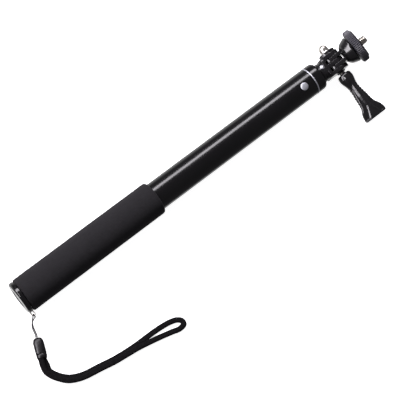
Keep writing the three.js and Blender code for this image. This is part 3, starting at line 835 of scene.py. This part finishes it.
def section(name):
    """A drawn tube, and the grooved slider on its rear end."""
    low, high = extent(f"{name}_tube")
    outer = high[2]
    tube = sleeve(low[0], high[0], outer, outer - SECTION_WALLS[name], soften=0.15)
    piece(f"{name}_drawn", placed(f"{name}_drawn", [tube], STICK), f"{name}_tube")
    low, high = extent(f"{name}_slider")
    start, end, radius = low[0], high[0], high[2]
    bore, floor_end, groove = outer + FIT, start + SLIDER_FLOOR, radius - GROOVE_DEPTH
    grooves = []
    for place in GROOVE_PLACES:
        x = start + place * (end - start)
        grooves += [[x - 0.35, radius], [x - 0.25, groove], [x + 0.25, groove], [x + 0.35, radius]]
    cup = turned([
        [start, SLIDER_BORE], [start, radius - 0.5], [start + 0.5, radius], *grooves, [end, radius],
        [end, bore], [floor_end, bore], [floor_end, SLIDER_BORE],
    ], soften=0.12, looped=True)
    piece(f"{name}_guide", placed(f"{name}_guide", [cup], STICK), f"{name}_slider")


def bush(name, next_name):
    """The flanged bush in a section's mouth."""
    low, high = extent(f"{name}_bush")
    tube = extent(f"{name}_tube")[1]
    bore = extent(f"{next_name}_tube")[1][2] + FIT
    seat, flange, outer = tube[2] - SECTION_WALLS[name] - FIT, tube[0] + 0.1, high[2]
    shell = turned([
        [low[0], seat], [flange, seat], [flange, outer], [high[0], outer], [high[0], bore], [low[0], bore],
    ], soften=0.15, looped=True)
    piece(f"{name}_mouth", placed(f"{name}_mouth", [shell], STICK), f"{name}_bush")


# Head -----------------------------------------------------------------------------------------------

LOBES = 6
LOBE_RADIUS = 1.5
LOBE_LENGTH = 3
LOBE_CIRCLE = 4.9
PIN_SHANK = 1.5
PIN_RADIUS = 1.8
NUT_BORE = 2.65
SHAFT_PITCH = 0.8
SHAFT_DEPTH = 0.4
WASHER_BORE = 2.7


def head_fork():
    """The moulded fork: its CAD body with lobes round the nut's boss and a bead round the neck."""
    low, high = extent("head_fork", HEAD)
    start, end = 0.1 - high[1], LOBE_LENGTH - high[1]
    points, faces = turned([[start, 0], [start, LOBE_RADIUS], [end, LOBE_RADIUS], [end, 0]], 0.3, sides=24)
    lobes = []
    for i in range(LOBES):
        angle = (i + 0.5) * 2 * math.pi / LOBES
        offset = (0, LOBE_CIRCLE * math.cos(angle), LOBE_CIRCLE * math.sin(angle))
        lobes.append((points + offset, faces))
    neck = low[0]
    bead = turned([
        [neck + 1.2, 5], [neck + 1.2, 7.25], [neck + 1.5, 7.4], [neck + 2, 7.4], [neck + 2.3, 7.25],
        [neck + 2.3, 5],
    ], 0.15, looped=True)
    added = [placed("lobes", lobes, SCREW), placed("bead", [bead], HEAD)]
    mesh = moulded("fork_moulding", [NODES["head_fork"].data, *added], HEAD)
    piece("fork_moulding", mesh, "head_fork")


def head_pin():
    """A pin across the neck, with a domed head."""
    low, high = extent("head_pin", HEAD)
    middle = (low + high) / 2
    turn = -math.atan2(middle[1], middle[2])
    place = (HEAD @ Matrix.Translation((middle[0] * MM, 0, 0)) @ Matrix.Rotation(turn, 4, "X")
             @ Matrix.Rotation(-math.pi / 2, 4, "Y"))
    top = extent("head_pin", place)[1][0]
    shell = turned([
        [2, 0], [2, PIN_SHANK], [top - 1, PIN_SHANK], [top - 0.95, PIN_RADIUS], [top - 0.6, 1.62],
        [top - 0.27, 1.2], [top - 0.07, 0.6], [top, 0],
    ], 0.12, sides=48)
    piece("pin_rivet", placed("pin_rivet", [shell], place), "head_pin")


def acorn_nut():
    """A domed cap on a hexagon."""
    low, high = extent("acorn_nut", SCREW)
    tip, seat = low[0], high[0]
    dome = turned([
        [tip, 0], [tip + 0.12, 1.0], [tip + 0.6, 1.95], [tip + 1.3, 2.65], [tip + 2.2, 3.15],
        [tip + 3.2, 3.4], [tip + 5.4, 3.42], [tip + 5.9, 3.7], [tip + 6.1, 3.7], [tip + 6.1, NUT_BORE],
        [tip + 3.6, NUT_BORE], [tip + 3.6, 0],
    ], 0.2)
    hexagon = turned([
        [tip + 6, NUT_BORE], [tip + 6, 3.6], [tip + 6.4, 4.15], [seat - 0.4, 4.15], [seat, 3.6],
        [seat, NUT_BORE],
    ], 0.05, looped=True, sides=6)
    piece("nut_plated", placed("nut_plated", [dome, hexagon], SCREW), "acorn_nut")


def thumbscrew():
    """The threaded shaft and the washer on it."""
    low, high = extent("thumbscrew_shaft", SCREW)
    shaft = threaded(low[0], high[0], high[2], SHAFT_PITCH, SHAFT_DEPTH)
    piece("shaft_threaded", placed("shaft_threaded", [shaft], SCREW), "thumbscrew_shaft")
    low, high = extent("knob_washer", SCREW)
    washer = sleeve(low[0], high[0], high[2], WASHER_BORE, 0.2)
    piece("washer_ring", placed("washer_ring", [washer], SCREW), "knob_washer")


# Knob stations: distance from its start, half width, half thickness
KNOB = [
    (0, 4.3, 4.3), (0.5, 5, 5), (1.2, 5.3, 5.3), (4, 5.5, 5.4), (6.2, 5.1, 5), (8.3, 4.4, 4.4),
    (10.2, 3.95, 4), (12, 3.75, 3.9), (14, 3.8, 3.85), (16, 4, 3.8), (18.2, 4.35, 3.75), (20.4, 4.75, 3.7),
    (23.6, 5.1, 3.5), (26.7, 5.5, 3.2), (28.2, 5.9, 3), (29.5, 6.6, 2.8), (31, 7.6, 2.6), (32.5, 8.4, 2.4),
    (34.5, 9, 2.25), (36.4, 9.4, 2.1), (37.6, 9.4, 1.95), (38.3, 9.1, 1.7), (38.7, 8.4, 1.2),
]
KNOB_SIDES = 160
KNOB_ROWS = 200
KNOB_BORE = 2.7
FLUTES = 10
FLUTE_DEPTH = 0.14
RIB_PITCH = 2.2
RIB_HEIGHT = 0.2
RIDGE_SLOPE = 1.38


def between(value, start, end):
    """0 before start, 1 after end, and a smooth rise between them."""
    t = np.clip((value - start) / (end - start), 0, 1)
    return t * t * (3 - 2 * t)


def thumbscrew_knob():
    """A fluted round foot, a stem with a ridge on each face and ribs on its edges, and a flared paddle."""
    start = extent("thumbscrew_knob", SCREW)[0][0]
    c, s = circle(KNOB_SIDES)
    flutes = np.cos(FLUTES * np.arange(KNOB_SIDES) * 2 * math.pi / KNOB_SIDES)
    places, widths, heights = np.array(KNOB).T
    rings = []
    for along in np.linspace(0, places[-1], KNOB_ROWS):
        width, height = np.interp(along, places, widths), np.interp(along, places, heights)
        flat = between(along, 7, 14)
        foot = FLUTE_DEPTH * max(0, 1 - abs(along - 3.6) / 3.2) * flutes
        ribs = RIB_HEIGHT * between(along, 10, 13) * (1 - between(along, 25, 28))
        ribs *= math.cos(2 * math.pi * along / RIB_PITCH)
        power = 2 + 1.6 * flat
        y = rounded(c, power) * (width + foot + ribs * np.abs(c) ** 8)
        z = rounded(s, power) * (height + foot)
        face = between(np.abs(s), 0.05, 0.5)
        spread = between(along, 24, 34)
        depth = flat * (1.6 - 0.5 * spread) * (1 - between(along, 36.9, 38.3))
        crest = 0.3 + 3.9 * np.clip((along - 28.5) / 8.5, 0, 1)
        slope = np.clip((np.abs(y) - crest) / (RIDGE_SLOPE * depth + 0.01), 0, 1)
        z = z - np.sign(z) * depth * slope * face
        rings.append(np.stack([np.full(KNOB_SIDES, start + along), y, z], -1))
    solid = placed("knob_solid", [skin(rings)], SCREW)
    bore = placed("knob_bore", [bar(start - 1, start + 9, KNOB_BORE, 48)], SCREW)
    piece("knob_moulding", cut(solid, bore), "thumbscrew_knob")


# Camera adapter -------------------------------------------------------------------------------------

POCKET_FLOOR = 12.2
POCKET_RADIUS = 6.4
SCREW_RADIUS = 3.1
SCREW_PITCH = 1.27
SCREW_DEPTH = 0.6
SCREW_HEAD = 5.6
DISC_BORE = 3.3
DISC_TEETH = 60
DISC_SIDES = 480
TOOTH_DEPTH = 0.5
TOOTH_REACH = 1.1
PAD_BORE = 3.7
PAD_RING_PITCH = 1.1


def adapter_base():
    """The moulded base: its CAD body under a rounded bell, which leaves the pocket of the screw open."""
    bell = turned([
        [7.9, 0], [7.9, 4.8], [8.6, 5.9], [9.6, 7.3], [10.8, 8.4], [12.3, 9], [13.8, 9.6], [15.4, 10.2],
        [16.3, 10.35], [16.7, 10], [16.7, POCKET_RADIUS], [POCKET_FLOOR, POCKET_RADIUS], [POCKET_FLOOR, 0],
    ], 0.5)
    room = turned([[8.6, 5.2], [9.6, 6.7], [10.8, 7.8], [17, 9.8], [17, 14], [8.6, 14]], 0, looped=True)
    body = cut(NODES["adapter_base"].data, placed("room", [room], ADAPTER))
    mesh = moulded("adapter_moulding", [body, placed("bell", [bell], ADAPTER)], ADAPTER, rounding=12)
    piece("adapter_moulding", mesh, "adapter_base")


def camera_screw():
    """A threaded shank on a hexagonal head."""
    low, high = extent("camera_screw", ADAPTER)
    head, tip = low[0], high[0]
    shank = threaded(head + 3, tip, SCREW_RADIUS, SCREW_PITCH, SCREW_DEPTH, sides=64, steps=12)
    hexagon = turned([
        [head, 0], [head, 4.9], [head + 0.5, SCREW_HEAD], [head + 3.3, SCREW_HEAD], [head + 3.3, 0],
    ], 0.05, sides=6)
    piece("screw_threaded", placed("screw_threaded", [shank, hexagon], ADAPTER), "camera_screw")


def lock_disc():
    """A disc with a finely knurled rim and a turned hollow in each face."""
    low, high = extent("lock_disc", ADAPTER)
    start, end, radius = low[0], high[0], high[2]
    angles = np.arange(DISC_SIDES) * 2 * math.pi / DISC_SIDES
    tooth = TOOTH_DEPTH * (0.5 + 0.5 * np.cos(DISC_TEETH * angles)) ** 0.8
    profile = softened([
        [start, DISC_BORE], [start, 8.2], [start + 0.5, 8.8], [start + 0.5, radius - 2.6],
        [start, radius - 2.1], [start, radius - 1], [start + 0.8, radius], [end - 0.8, radius],
        [end, radius - 1], [end, 11.8], [end - 0.1, 11.5], [end - 0.1, DISC_BORE],
    ], 0.25, True)
    rings = []
    for x, r in profile:
        share = max(0.0, (r - (radius - TOOTH_REACH)) / TOOTH_REACH)
        rim = r - share * tooth
        rings.append(np.stack([np.full(DISC_SIDES, x), rim * np.cos(angles), rim * np.sin(angles)], -1))
    mesh = placed("disc_knurled", [skin(rings, looped=True)], ADAPTER)
    piece("disc_knurled", mesh, "lock_disc")


def disc_pad():
    """A rubber washer with rings moulded in its face."""
    low, high = extent("disc_pad", ADAPTER)
    start, end, radius = low[0], high[0], high[2]
    profile = [[start, PAD_BORE], [start, radius], [end - 0.15, radius]]
    for r in np.arange(radius - 0.8, 4.6, -PAD_RING_PITCH):
        profile += [[end, r + 0.3], [end, r - 0.25], [end - 0.18, r - 0.4], [end - 0.18, r - 0.65]]
    profile += [[end, PAD_BORE + 0.4], [end - 0.1, PAD_BORE]]
    piece("pad_ribbed", placed("pad_ribbed", [turned(profile, 0.08, looped=True)], ADAPTER), "disc_pad")


# Assembly -------------------------------------------------------------------------------------------

strap()
floor()
studio()
lights()
end_cap()
lanyard_loop()
foam_grip()
outer_tube()
trim_ring()
end_collar()
lock_button()
button_spring()
for name in ("section_2", "section_3", "section_4"):
    section(name)
bush("section_2", "section_3")
bush("section_3", "section_4")
head_fork()
head_pin()
acorn_nut()
thumbscrew()
thumbscrew_knob()
adapter_base()
camera_screw()
lock_disc()
disc_pad()

bpy.context.scene.view_settings.view_transform = "Standard"
